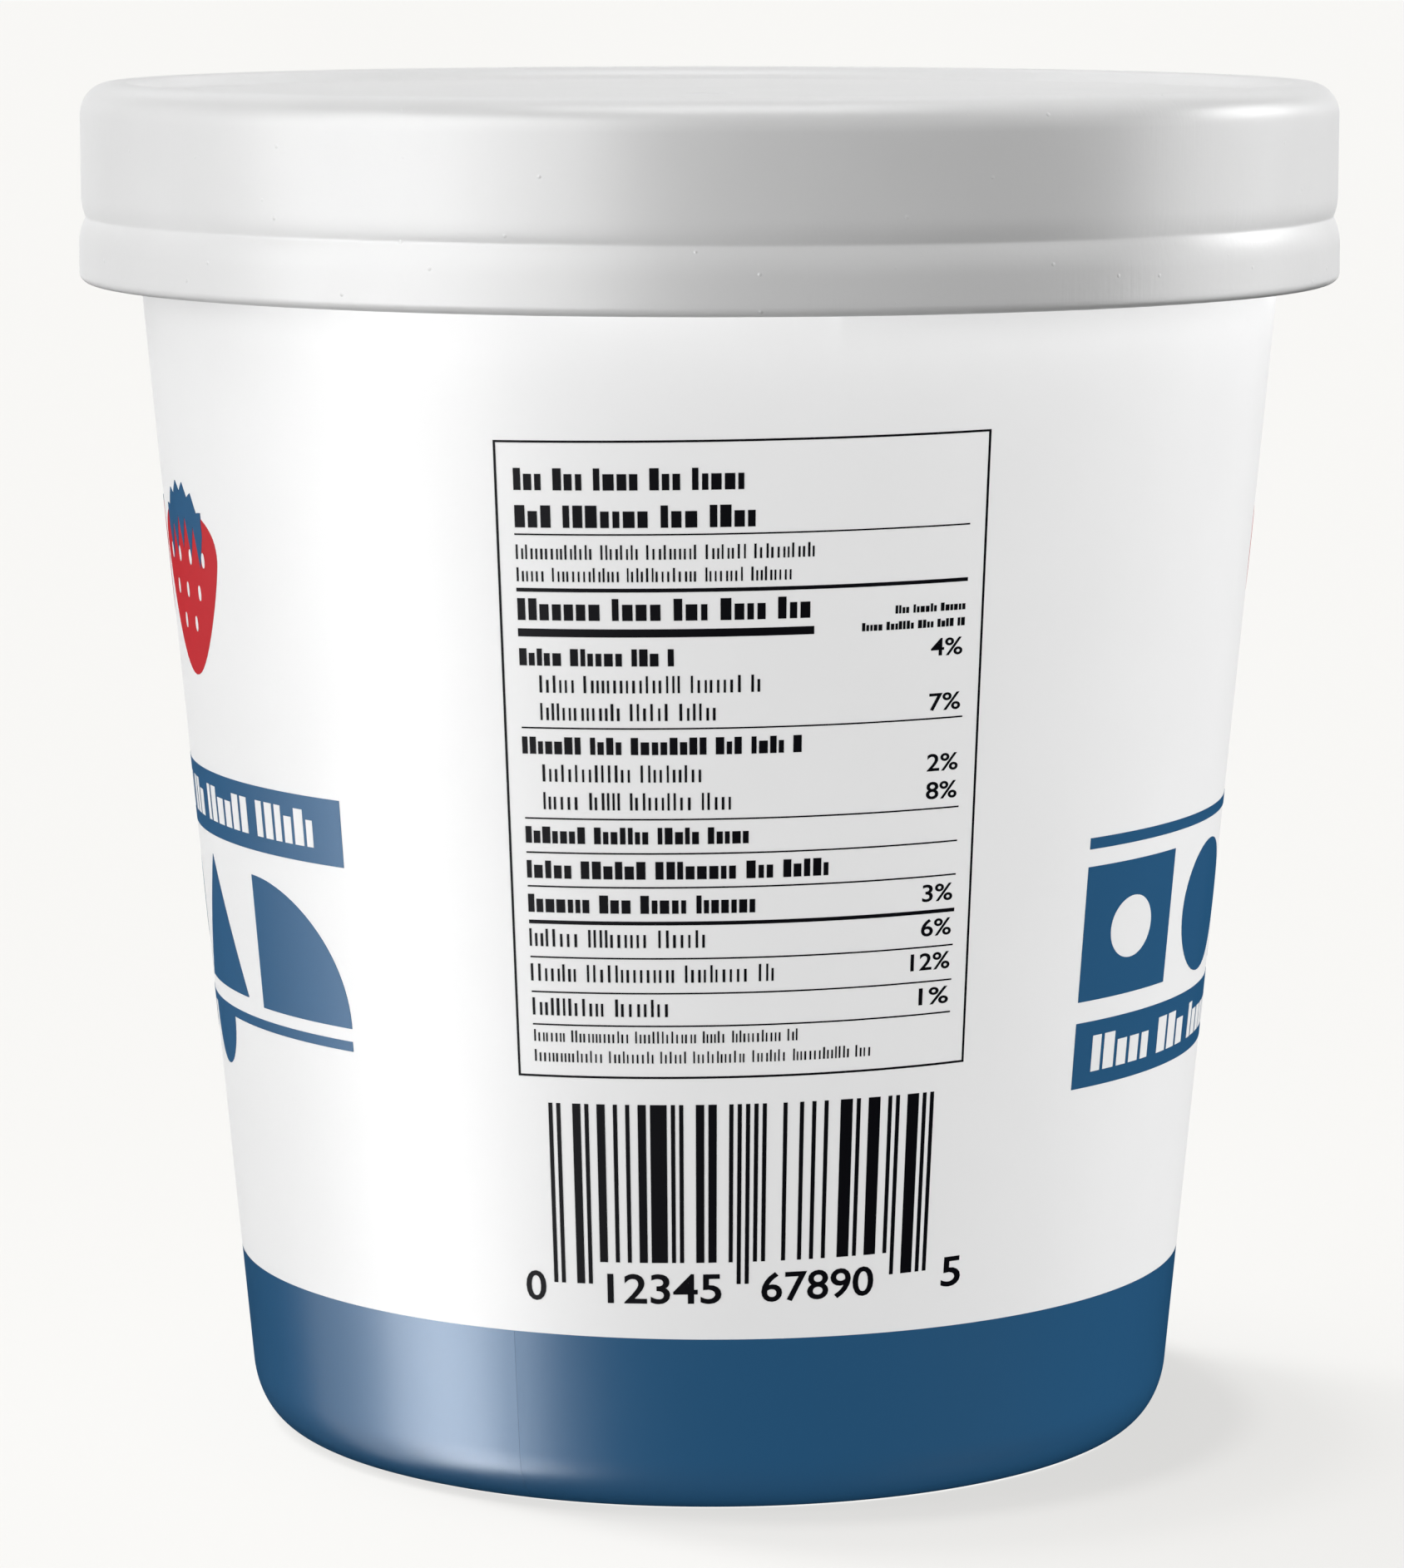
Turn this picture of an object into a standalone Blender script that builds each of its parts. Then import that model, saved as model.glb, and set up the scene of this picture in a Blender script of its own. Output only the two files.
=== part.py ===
"""A shut yogurt pot: a tapered moulded tub under a push-fit lid. Metres, +Z up, origin under the foot.

The tub is one solid, because the pot is shut and nothing of its inside can be seen.
The lid is a real shell over the tub's rim, so the gap under its skirt is open from below.
"""

import math

import bpy
import numpy as np

MM = 0.001

# Turning
STEPS = 96
MERGE_DISTANCE = 0.01 * MM
SHARP_ANGLE = math.radians(35.0)

# Gap between pieces that touch
CLEARANCE = 0.3 * MM

# Tub
TUB_FLOOR_RADIUS = 37.4 * MM
TUB_TAPER = 0.0922
HEEL_HEIGHT = 4.5 * MM
HEEL_FULLNESS = 0.75
FOOT_RADIUS = 34.6 * MM
FOOT_RING_WIDTH = 2.8 * MM
BASE_RECESS = 1.2 * MM
BASE_RECESS_RUN = 0.9 * MM
BAND_HEIGHT = 14.2 * MM
RIM_BEAD_HEIGHT = 3.0 * MM
RIM_BEAD_WIDTH = 2.2 * MM
RIM_BEAD_ROUND = 0.7 * MM

# Lid
LID_RADIUS = 51.0 * MM
LID_TOP = 109.4 * MM
LID_HEIGHT = 15.9 * MM
LID_WALL = 0.8 * MM
SKIRT_WALL = 1.2 * MM
SKIRT_SET_BACK = 0.2 * MM
SHOULDER_WIDTH = 2.5 * MM
SHOULDER_DROP = 2.5 * MM
CREST_WIDTH = 1.0 * MM
PANEL_RECESS = 1.0 * MM
PANEL_SLOPE_WIDTH = 2.0 * MM
GROOVE_HEIGHT = 5.2 * MM
GROOVE_DEPTH = 0.55 * MM
GROOVE_ROLL_ABOVE = 1.9 * MM
GROOVE_ROLL_BELOW = 1.5 * MM
LIP_ROUND = 0.6 * MM

# Radii and heights that follow from those above
FOOT_INNER = FOOT_RADIUS - FOOT_RING_WIDTH
SKIRT_RADIUS = LID_RADIUS - SKIRT_SET_BACK
SKIRT_INNER = SKIRT_RADIUS - SKIRT_WALL - GROOVE_DEPTH / 2
CREST_OUTER = SKIRT_RADIUS - SHOULDER_WIDTH
CREST_INNER = CREST_OUTER - CREST_WIDTH
PANEL_RADIUS = CREST_INNER - PANEL_SLOPE_WIDTH
PANEL_TOP = LID_TOP - PANEL_RECESS
CEILING = PANEL_TOP - LID_WALL
LIP = LID_TOP - LID_HEIGHT
GROOVE = LIP + GROOVE_HEIGHT
GROOVE_RADIUS = LID_RADIUS - GROOVE_DEPTH

# Colours, linear RGB
WHITE_FILM = (0.85, 0.85, 0.85)
BLUE_FILM = (0.024, 0.104, 0.215)
WHITE_LID = (0.78, 0.78, 0.78)


def clear_scene():
    """Removes whatever the file holds at the start."""
    for obj in list(bpy.data.objects):
        bpy.data.objects.remove(obj, do_unlink=True)


def make_collection(name):
    """A new collection in the scene."""
    collection = bpy.data.collections.new(name)
    bpy.context.scene.collection.children.link(collection)
    return collection


def make_material(name, color, roughness):
    """A plain plastic: colour and roughness on a Principled shader."""
    material = bpy.data.materials.new(name)
    material.use_nodes = True
    shader = material.node_tree.nodes["Principled BSDF"]
    shader.inputs["Base Color"].default_value = (*color, 1.0)
    shader.inputs["Roughness"].default_value = roughness
    shader.inputs["Metallic"].default_value = 0.0
    return material


def quarter(start, end, corner, count):
    """Points of a quarter ellipse from start to end that bulges towards corner, without its first point."""
    start, end, corner = (np.array(p) for p in (start, end, corner))
    centre = start + end - corner
    turn = np.linspace(0.0, math.pi / 2, count + 1)[1:, None]
    return centre + (start - centre) * np.cos(turn) + (end - centre) * np.sin(turn)


def conic(start, control, end, fullness, count):
    """Points of a conic from start to end, tangent to both lines through control, without its first point."""
    start, control, end = (np.array(p) for p in (start, control, end))
    t = np.linspace(0.0, 1.0, count + 1)[1:, None]
    weights = ((1 - t) ** 2, 2 * fullness * t * (1 - t), t**2)
    return (weights[0] * start + weights[1] * control + weights[2] * end) / sum(weights)


def tub_radius(height):
    """Outer radius of the tapered wall at a height above the floor."""
    return TUB_FLOOR_RADIUS + TUB_TAPER * height


def tub_profile():
    """The tub's outline, as radius and height, from the middle of its top out and down to its base."""
    top = CEILING - CLEARANCE
    bead_top = LID_TOP - LID_WALL - CLEARANCE
    bead_low = bead_top - RIM_BEAD_HEIGHT
    bead_out = SKIRT_INNER - CLEARANCE
    bead_in = bead_out - RIM_BEAD_WIDTH
    points = [(0.0, top), (bead_in - RIM_BEAD_ROUND, top), (bead_in, bead_top - RIM_BEAD_ROUND / 2)]
    points += [((bead_in + bead_out) / 2, bead_top)]
    points += list(quarter(points[-1], (bead_out, bead_top - SHOULDER_DROP / 2), (bead_out, bead_top), 4))
    points += [(bead_out, bead_low + RIM_BEAD_ROUND)]
    points += list(quarter(points[-1], (bead_out - RIM_BEAD_ROUND, bead_low), (bead_out, bead_low), 2))
    points += [(tub_radius(bead_low), bead_low)]
    points += [(tub_radius(BAND_HEIGHT), BAND_HEIGHT)]
    points += [(tub_radius(HEEL_HEIGHT), HEEL_HEIGHT)]
    points += list(conic(points[-1], (TUB_FLOOR_RADIUS, 0.0), (FOOT_RADIUS, 0.0), HEEL_FULLNESS, 8))
    points += [(FOOT_INNER, 0.0), (FOOT_INNER - BASE_RECESS_RUN, BASE_RECESS), (0.0, BASE_RECESS)]
    return points


def lid_outer_profile():
    """The lid's outer side, from the middle of its panel over the crest and down the skirt to the lip."""
    slope_middle = ((PANEL_RADIUS + CREST_INNER) / 2, (PANEL_TOP + LID_TOP) / 2)
    points = [(0.0, PANEL_TOP), (PANEL_RADIUS, PANEL_TOP)]
    slope_foot = ((PANEL_RADIUS + slope_middle[0]) / 2, PANEL_TOP)
    slope_head = ((CREST_INNER + slope_middle[0]) / 2, LID_TOP)
    points += list(conic(points[-1], slope_foot, slope_middle, 1.0, 3))
    points += list(conic(points[-1], slope_head, (CREST_INNER, LID_TOP), 1.0, 3))
    points += [(CREST_OUTER, LID_TOP)]
    points += list(quarter(points[-1], (SKIRT_RADIUS, LID_TOP - SHOULDER_DROP), (SKIRT_RADIUS, LID_TOP), 8))
    points += [(SKIRT_RADIUS, GROOVE + GROOVE_ROLL_ABOVE)]
    roll_middle = (SKIRT_RADIUS, GROOVE + GROOVE_ROLL_ABOVE / 2)
    points += list(conic(points[-1], roll_middle, (GROOVE_RADIUS, GROOVE), 1.0, 4))
    roll_middle = (LID_RADIUS, GROOVE - GROOVE_ROLL_BELOW / 2)
    points += list(conic(points[-1], roll_middle, (LID_RADIUS, GROOVE - GROOVE_ROLL_BELOW), 1.0, 4))
    points += [(LID_RADIUS, LIP + LIP_ROUND)]
    points += list(quarter(points[-1], (LID_RADIUS - LIP_ROUND, LIP), (LID_RADIUS, LIP), 3))
    return points


def lid_profile():
    """The lid's whole section: the outer side down to the lip, then the inner side back up to the middle."""
    crest_ceiling = LID_TOP - LID_WALL
    points = lid_outer_profile()
    points += [(SKIRT_INNER, LIP), (SKIRT_INNER, crest_ceiling - SHOULDER_DROP / 2)]
    points += list(quarter(points[-1], (CREST_OUTER, crest_ceiling), (SKIRT_INNER, crest_ceiling), 4))
    points += [(CREST_INNER - LID_WALL, crest_ceiling), (PANEL_RADIUS - LID_WALL, CEILING), (0.0, CEILING)]
    return points


def turned(name, profile, materials, collection):
    """An object turned from a profile at +X round the Z axis, with a live Screw modifier."""
    mesh = bpy.data.meshes.new(name)
    points = [(radius, 0.0, height) for radius, height in profile]
    mesh.from_pydata(points, [(i, i + 1) for i in range(len(points) - 1)], [])
    for material in materials:
        mesh.materials.append(material)
    obj = bpy.data.objects.new(name, mesh)
    collection.objects.link(obj)
    screw = obj.modifiers.new("turn", "SCREW")
    screw.axis = "Z"
    screw.angle = 2 * math.pi
    screw.steps = STEPS
    screw.render_steps = STEPS
    screw.use_merge_vertices = True
    screw.merge_threshold = MERGE_DISTANCE
    screw.use_smooth_shade = True
    return obj


def solidified(obj):
    """Turns the live modifier into the mesh, smooth but for its sharp corners."""
    depsgraph = bpy.context.evaluated_depsgraph_get()
    mesh = bpy.data.meshes.new_from_object(obj.evaluated_get(depsgraph))
    obj.modifiers.clear()
    obj.data = mesh
    mesh.name = obj.name
    mesh.shade_smooth()
    mesh.set_sharp_from_angle(angle=SHARP_ANGLE)
    return obj


def paint_band(tub, slot):
    """Gives the tub's wall and heel below the printed band's top another of its materials."""
    for face in tub.data.polygons:
        on_wall = math.hypot(face.center.x, face.center.y) > FOOT_RADIUS - FOOT_RING_WIDTH / 2
        if on_wall and face.center.z < BAND_HEIGHT:
            face.material_index = slot


def build():
    """Makes the tub and the lid."""
    clear_scene()
    parts = make_collection("yogurt_pot")
    white = make_material("white_printed_film", WHITE_FILM, 0.35)
    blue = make_material("blue_printed_film", BLUE_FILM, 0.4)
    lid_white = make_material("lid_polypropylene", WHITE_LID, 0.45)
    tub = solidified(turned("tub", tub_profile(), [white, blue], parts))
    paint_band(tub, 1)
    solidified(turned("lid", lid_profile(), [lid_white], parts))


build()
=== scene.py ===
"""A shut yogurt pot in a small studio: the moulded tub, its printed wrap and the push-fit lid.

Sizes are fields in millimetres and become metres in the meshes. A turn is an angle in degrees round the
pot's axis, from the side with the table (-Y), growing towards +X. Heights are above the foot.
"""

import logging
import math
from collections.abc import Sequence
from dataclasses import dataclass, field
from enum import Enum

import bmesh
import bpy
import numpy as np
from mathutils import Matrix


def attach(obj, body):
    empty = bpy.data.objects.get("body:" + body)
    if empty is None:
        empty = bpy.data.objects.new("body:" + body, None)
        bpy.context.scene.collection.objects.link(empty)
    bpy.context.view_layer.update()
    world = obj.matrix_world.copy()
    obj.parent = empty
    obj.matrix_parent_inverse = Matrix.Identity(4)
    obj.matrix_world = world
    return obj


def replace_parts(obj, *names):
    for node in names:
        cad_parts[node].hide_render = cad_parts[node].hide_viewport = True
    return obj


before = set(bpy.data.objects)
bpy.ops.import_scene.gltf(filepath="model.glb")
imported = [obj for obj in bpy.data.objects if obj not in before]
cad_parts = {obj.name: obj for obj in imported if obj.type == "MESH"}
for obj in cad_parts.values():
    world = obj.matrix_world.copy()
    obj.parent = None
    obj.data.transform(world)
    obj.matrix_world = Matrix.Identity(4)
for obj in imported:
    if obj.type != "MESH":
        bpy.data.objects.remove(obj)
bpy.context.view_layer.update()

MM = 0.001
SMOOTH_BELOW = math.radians(35.0)
CURVE_STEPS = 25
END_TRIM = 0.06
LOG = logging.getLogger("yogurt_pot")


class Reach(Enum):
    """Which of a surface's two kinds of reflection a lamp feeds."""

    DIFFUSE = "diffuse"
    GLOSS = "gloss"


class Target(Enum):
    """What a lamp lights."""

    LID = "lid"
    TUB = "tub"


class Slot(Enum):
    """The record's material slots."""

    FILM = "tub_film"
    LID = "lid_plastic"
    BLUE = "print_blue"
    BLACK = "print_black"
    RED = "print_red"


class Weight(Enum):
    """How a line of marks is drawn: least and most width, and least and most gap, over the line's height."""

    REGULAR = (0.11, 0.15, 0.15, 0.30)
    BOLD = (0.26, 0.50, 0.12, 0.16)


# Geometry


def quarter(start: Sequence[float], end: Sequence[float], corner: Sequence[float], count: int) -> np.ndarray:
    """A quarter ellipse: centre + (start - centre) cos t + (end - centre) sin t, over a right angle of t.

    Args:
        start: First point, which is left out of the result.
        end: Last point.
        corner: The corner that the arc rounds off.
        count: Number of points.

    Returns:
        Points of radius and height, count by 2.
    """
    first, last, bend = (np.asarray(p, float) for p in (start, end, corner))
    centre = first + last - bend
    t = np.linspace(0.0, math.pi / 2, count + 1)[1:, None]
    return centre + (first - centre) * np.cos(t) + (last - centre) * np.sin(t)


def conic(
    start: Sequence[float], control: Sequence[float], end: Sequence[float], fullness: float, count: int
) -> np.ndarray:
    """A rational quadratic: the mean of three points weighted (1-t)^2, 2 w t (1-t) and t^2.

    Args:
        start: First point, which is left out of the result.
        control: Point where the tangents of both ends meet.
        end: Last point.
        fullness: The weight w. More brings the curve nearer to control.
        count: Number of points.

    Returns:
        Points of radius and height, count by 2.
    """
    first, middle, last = (np.asarray(p, float) for p in (start, control, end))
    t = np.linspace(0.0, 1.0, count + 1)[1:, None]
    weights = ((1 - t) ** 2, 2 * fullness * t * (1 - t), t**2)
    return (weights[0] * first + weights[1] * middle + weights[2] * last) / sum(weights)


def line(start: Sequence[float], end: Sequence[float], count: int) -> np.ndarray:
    """Points evenly along a straight line, without its first."""
    first, last = np.asarray(start, float), np.asarray(end, float)
    return first + (last - first) * np.linspace(0.0, 1.0, count + 1)[1:, None]


def quads(index: np.ndarray) -> np.ndarray:
    """The quads of a grid of vertex numbers, each going first along the rows and then along the columns."""
    corners = (index[:-1, :-1], index[1:, :-1], index[1:, 1:], index[:-1, 1:])
    return np.stack(corners, axis=-1).reshape(-1, 4)


def new_mesh(name: str, points: np.ndarray, faces: list[list[int]]) -> bpy.types.Mesh:
    """A mesh of points in metres and faces of their numbers."""
    mesh = bpy.data.meshes.new(name)
    mesh.from_pydata(points.tolist(), [], faces)
    mesh.update()
    return mesh


def around(turn: np.ndarray, radius: np.ndarray | float, height: np.ndarray | float) -> np.ndarray:
    """Points round the axis: x = r sin a, y = -r cos a, z = h.

    Args:
        turn: The angles a, in radians.
        radius: The radii r.
        height: The heights h.

    Returns:
        Points, with one more axis of 3.
    """
    x, y = radius * np.sin(turn), -radius * np.cos(turn)
    return np.stack(np.broadcast_arrays(x, y, height + 0 * turn), axis=-1)


def closed_rings(count: int, steps: int) -> np.ndarray:
    """Vertex numbers of rings of points, count by steps, with each ring's first once more at its end."""
    index = np.arange(count * steps).reshape(count, steps)
    return np.concatenate([index, index[:, :1]], axis=1)


def turned_mesh(name: str, profile: np.ndarray, steps: int = 288) -> bpy.types.Mesh:
    """A solid turned from its outline: each of its points goes round the axis in a full circle.

    Args:
        name: Name of the mesh.
        profile: Radius and height in millimetres, from the axis at the top outwards and down to the axis.
        steps: Number of angles.

    Returns:
        A closed mesh with one vertex at each end of the axis.
    """
    rings = profile[1:-1] * MM
    turn = np.linspace(0.0, 2 * math.pi, steps, endpoint=False)
    grid = around(turn, rings[:, :1], rings[:, 1:])
    poles = around(np.zeros(2), 0.0, profile[[0, -1], 1] * MM)
    index = closed_rings(len(rings), steps)
    top = index.max() + 1
    first, last = index[0], index[-1]
    fans = [np.stack([np.full(steps, top), first[:-1], first[1:]], axis=1)]
    fans += [np.stack([np.full(steps, top + 1), last[1:], last[:-1]], axis=1)]
    points = np.concatenate([grid.reshape(-1, 3), poles])
    return new_mesh(name, points, quads(index).tolist() + np.concatenate(fans).tolist())


def slab(front: np.ndarray, back: np.ndarray) -> tuple[np.ndarray, np.ndarray]:
    """A closed solid between two grids of one shape, with quads round the rim that join them.

    Args:
        front: Outer points, rows by columns by 3, with rows along the turn and columns upwards.
        back: Inner points, in the same order.

    Returns:
        Points, and quads of their numbers that face outwards.
    """
    rows, columns = front.shape[:2]
    size = rows * columns
    index = np.arange(size).reshape(rows, columns)
    rim = np.concatenate([index[:, 0], index[-1, 1:], index[-2::-1, -1], index[0, -2:0:-1]])
    after = np.roll(rim, -1)
    walls = np.stack([rim, rim + size, after + size, after], axis=1)
    faces = np.concatenate([quads(index), quads(index)[:, ::-1] + size, walls])
    return np.concatenate([front.reshape(-1, 3), back.reshape(-1, 3)]), faces


def half_circle() -> np.ndarray:
    """Angles over half a circle, less a trace at both ends, where a shape cut from them would be a point."""
    return np.linspace(END_TRIM, math.pi - END_TRIM, CURVE_STEPS)


@dataclass(frozen=True)
class Wall:
    """The tub's outer wall: a cone over a heel that curves in to the foot.

    The cone's radius is floor_radius + taper times the height.
    """

    floor_radius: float = 37.4
    taper: float = 0.0922
    heel_height: float = 4.5
    heel_fullness: float = 0.75
    foot_radius: float = 34.6
    band_height: float = 14.2

    def radius(self, height: np.ndarray | float) -> np.ndarray | float:
        """Radius of the cone at a height, both in millimetres."""
        return self.floor_radius + self.taper * height

    def heel(self, count: int) -> np.ndarray:
        """The heel's outline from the foot of the cone to the floor, without its first point."""
        start = (self.radius(self.heel_height), self.heel_height)
        return conic(start, (self.floor_radius, 0.0), (self.foot_radius, 0.0), self.heel_fullness, count)

    def place(self, turn: np.ndarray, height: np.ndarray, lift: np.ndarray | float) -> np.ndarray:
        """Puts turns and heights on the cone, at its radius there plus a lift.

        Args:
            turn: Degrees from the front.
            height: Millimetres above the foot.
            lift: Millimetres off the wall.

        Returns:
            Points in metres, with one more axis of 3.
        """
        return around(np.radians(turn), (self.radius(height) + lift) * MM, height * MM)


WALL = Wall()


@dataclass
class InkLayer:
    """One colour of print: many flat shapes wrapped on the wall, each a closed slab a little proud of it.

    Attributes:
        lift: Height of the ink's face over the bare wall, in millimetres.
        sink: Height of its back.
        skew: How much the print climbs, in millimetres per degree of turn.
        middle: Turn at which the skew does nothing.
        spread: How much wider the print gets downwards, as a share per millimetre.
        anchor: Turn at which the spread does nothing.
        level: Height at which the spread does nothing.
        embolden: How much bolder its figures are than the font, as a share of the font's size.
        word_bars: Fewest bars in a word, and one more than the most.
        word_space: Extra gap after a word, as a share of the line's height.
        short_bar: Height of a short bar, as a share of the line's.
        tall_share: Share of the bars within a word that are full height.
    """

    lift: float = 0.09
    sink: float = 0.03
    skew: float = 0.0
    middle: float = 3.0
    spread: float = 0.0
    anchor: float = 0.0
    level: float = 0.0
    embolden: float = 0.012
    word_bars: tuple[int, int] = (3, 9)
    word_space: float = 0.4
    short_bar: float = 0.74
    tall_share: float = 0.24
    parts: list[tuple[np.ndarray, np.ndarray]] = field(default_factory=list)

    def place(self, turn: np.ndarray, height: np.ndarray, lift: np.ndarray | float) -> np.ndarray:
        """Puts turns and heights on the wall, with the layer's spread and skew."""
        turn = self.anchor + (turn - self.anchor) * (1 + self.spread * (self.level - height))
        return WALL.place(turn, height + self.skew * (turn - self.middle), lift)

    def strip(self, turn: np.ndarray, low: np.ndarray | float, high: np.ndarray | float) -> None:
        """A shape given as its lowest and highest points at each turn, from left to right."""
        low, high = np.broadcast_to(low, turn.shape), np.broadcast_to(high, turn.shape)
        turns, heights = np.stack([turn, turn], axis=1), np.stack([low, high], axis=1)
        self.parts.append(slab(self.place(turns, heights, self.lift), self.place(turns, heights, self.sink)))

    def box(self, left: float, right: float, low: float, high: float) -> None:
        """A rectangle, cut every degree so that it bends with the wall."""
        self.strip(np.linspace(left, right, 2 + int(abs(right - left))), low, high)

    def boxes(self, left: np.ndarray, right: np.ndarray, low: np.ndarray, high: np.ndarray) -> None:
        """Many small rectangles at once: the eight corners of each, then one pattern of six quads for all."""
        turns = np.stack([left, right, right, left], axis=1)
        heights = np.stack([low, low, high, high], axis=1)
        sides = [self.place(turns, heights, self.lift), self.place(turns, heights, self.sink)]
        points = np.concatenate(sides, axis=1).reshape(-1, 3)
        pattern = [(0, 1, 2, 3), (7, 6, 5, 4), (0, 4, 5, 1), (1, 5, 6, 2), (2, 6, 7, 3), (3, 7, 4, 0)]
        first = 8 * np.arange(len(left))[:, None, None]
        self.parts.append((points, (np.array(pattern) + first).reshape(-1, 4)))

    def oval(self, turn: float, height: float, half_turn: float, half_height: float) -> None:
        """An ellipse: turn - a cos t and height +- b sin t, for t over half a circle."""
        t = half_circle()
        bulge = half_height * np.sin(t)
        self.strip(turn - half_turn * np.cos(t), height - bulge, height + bulge)

    def words(self, left: float, right: float, low: float, high: float, weight: Weight, seed: int) -> None:
        """A line of print as plain marks: upright bars, with a wider space after every few of them.

        Each bar stands after the one before it plus a gap, and the whole row is then stretched to the line.
        The first bar of a word and a few of the others are full height, and the rest are short.

        Args:
            left: Turn where the line starts.
            right: Turn where it ends.
            low: Height of its foot.
            high: Height of its top.
            weight: How its bars are drawn.
            seed: Seed of their widths, gaps and heights.
        """
        tall = high - low
        thin, fat, near, far = (math.degrees(tall * share / WALL.radius(low)) for share in weight.value)
        random = np.random.default_rng(seed)
        most = 2 + int((right - left) / (thin + near))
        width = random.uniform(thin, fat, most)
        ends = np.cumsum(random.integers(*self.word_bars, most) * (2 if weight is Weight.REGULAR else 1))
        last = np.isin(np.arange(most), ends - 1)
        first = np.isin(np.arange(most), np.concatenate([[0], ends]))
        space = math.degrees(self.word_space * tall / WALL.radius(low))
        gap = random.uniform(near, far, most) + np.where(last, space, 0.0)
        start = np.concatenate([[0.0], np.cumsum(width + gap)[:-1]])
        count = np.count_nonzero(start + width <= right - left)
        fit = (right - left) / (start[count - 1] + width[count - 1])
        end = left + fit * (start + width)[:count]
        full = first | (random.random(most) < self.tall_share)
        top = np.where(full, high, low + self.short_bar * tall)[:count]
        self.boxes(left + fit * start[:count], end, np.full(count, low), top)

    def figures(self, text: str, left: float, right: float, low: float, high: float) -> None:
        """Plain figures from Blender's own font, stretched to fill a rectangle and wrapped on the wall."""
        curve = bpy.data.curves.new("figures", "FONT")
        curve.body = text
        curve.resolution_u = 4
        curve.offset = self.embolden
        curve.extrude = 0.5
        holder = bpy.data.objects.new("figures", curve)
        bpy.context.scene.collection.objects.link(holder)
        bpy.context.view_layer.update()
        mesh = bpy.data.meshes.new_from_object(holder.evaluated_get(bpy.context.evaluated_depsgraph_get()))
        work = bmesh.new()
        work.from_mesh(mesh)
        bmesh.ops.remove_doubles(work, verts=work.verts, dist=1e-5)
        bmesh.ops.triangulate(work, faces=work.faces)
        bmesh.ops.recalc_face_normals(work, faces=work.faces)
        work.to_mesh(mesh)
        work.free()
        points = np.zeros(3 * len(mesh.vertices))
        mesh.vertices.foreach_get("co", points)
        faces = np.zeros(3 * len(mesh.polygons), int)
        mesh.polygons.foreach_get("vertices", faces)
        points = points.reshape(-1, 3)
        share = (points - points.min(axis=0)) / np.ptp(points, axis=0)
        turn, height = left + (right - left) * share[:, 0], low + (high - low) * share[:, 1]
        lift = self.sink + (self.lift - self.sink) * share[:, 2]
        self.parts.append((self.place(turn, height, lift), faces.reshape(-1, 3)))
        bpy.data.objects.remove(holder)
        bpy.data.curves.remove(curve)
        bpy.data.meshes.remove(mesh)

    def mesh(self, name: str) -> bpy.types.Mesh:
        """All the layer's shapes as one mesh."""
        shift = np.cumsum([0] + [len(points) for points, _ in self.parts[:-1]])
        faces = [rows for (_, part), start in zip(self.parts, shift) for rows in (part + start).tolist()]
        return new_mesh(name, np.concatenate([points for points, _ in self.parts]), faces)


# Finishes


def linear(code: str) -> tuple[float, float, float, float]:
    """Linear RGBA of an sRGB hex colour, by the curve of that standard."""
    shares = np.array([int(code[i : i + 2], 16) for i in (1, 3, 5)]) / 255
    curve = np.where(shares <= 0.04045, shares / 12.92, ((shares + 0.055) / 1.055) ** 2.4)
    return (*curve.tolist(), 1.0)


def add(
    tree: bpy.types.NodeTree, kind: str, options: dict[str, object], inputs: dict[str | int, object]
) -> bpy.types.Node:
    """Adds a node, sets its options, and fills its inputs with values or with other nodes' outputs.

    Args:
        tree: The node tree.
        kind: Blender's name of the node's type.
        options: The node's own settings.
        inputs: Values or output sockets, by the input's name or number.

    Returns:
        The node.
    """
    node = tree.nodes.new(kind)
    for key, value in options.items():
        setattr(node, key, value)
    for key, value in inputs.items():
        if isinstance(value, bpy.types.NodeSocket):
            tree.links.new(value, node.inputs[key])
        else:
            node.inputs[key].default_value = value
    return node


@dataclass(frozen=True)
class Relief:
    """A layer of fine relief: noise with bumps of one size, drawn out along the pot's height.

    Attributes:
        size: Distance between bumps, in millimetres.
        depth: Their depth, in millimetres.
        stretch: How many times longer than wide they are.
        patchy: Size in millimetres of the patches where the layer shows, or 0 for everywhere.
    """

    size: float
    depth: float
    stretch: float = 1.0
    patchy: float = 0.0


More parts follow.
